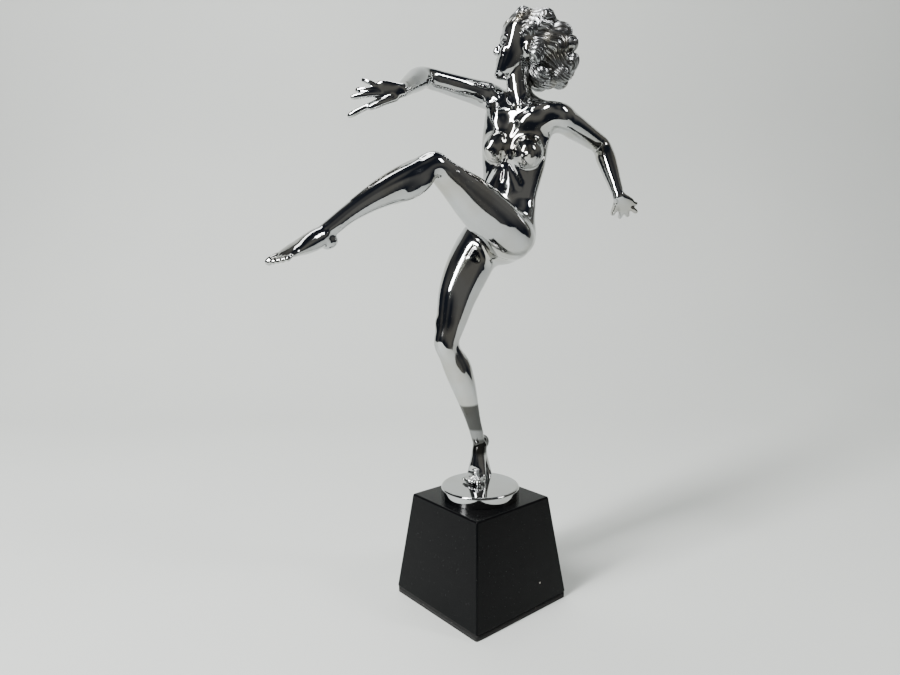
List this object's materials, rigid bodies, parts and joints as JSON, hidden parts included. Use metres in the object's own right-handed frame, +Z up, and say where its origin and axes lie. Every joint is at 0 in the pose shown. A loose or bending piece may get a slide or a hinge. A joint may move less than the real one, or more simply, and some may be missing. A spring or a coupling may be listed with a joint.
{
  "type": "hood ornament",
  "caption": "Chromed dancing figure on a round mounting seat, clamped to a tapered black display plinth with a felt foot.",
  "frame": {"origin": "centre of the felt pad's underside, where the plinth rests", "axes": "+Z up from the plinth to the head; X and Y square with the plinth's faces; the dancer faces -Y and her left is +X"},
  "size_m": [0.0965, 0.2286, 0.3677],
  "materials": {
    "chromed_casting": "mirror-bright chrome plate over cast bronze",
    "seat_chrome": "mirror-bright chrome plate over turned brass",
    "dowel_brass": "plain turned",
    "fixing_steel": "zinc-plated",
    "plinth_lacquer": "black satin-gloss lacquer",
    "base_felt": "black wool felt"
  },
  "bodies": {
    "root": {"body_and_standing_leg": "chromed_casting", "head": "chromed_casting", "right_arm": "chromed_casting", "left_arm": "chromed_casting", "raised_leg": "chromed_casting", "neck_dowel": "dowel_brass", "right_arm_dowel": "dowel_brass", "left_arm_dowel": "dowel_brass", "raised_leg_dowel": "dowel_brass", "heel_post": "chromed_casting", "foot_screw": "fixing_steel", "seat_disc": "seat_chrome", "clamp_stud": "fixing_steel", "flat_washer": "fixing_steel", "spring_washer": "fixing_steel", "clamp_nut": "fixing_steel", "plinth": "plinth_lacquer", "felt_pad": "base_felt"}
  },
  "joints": []
}
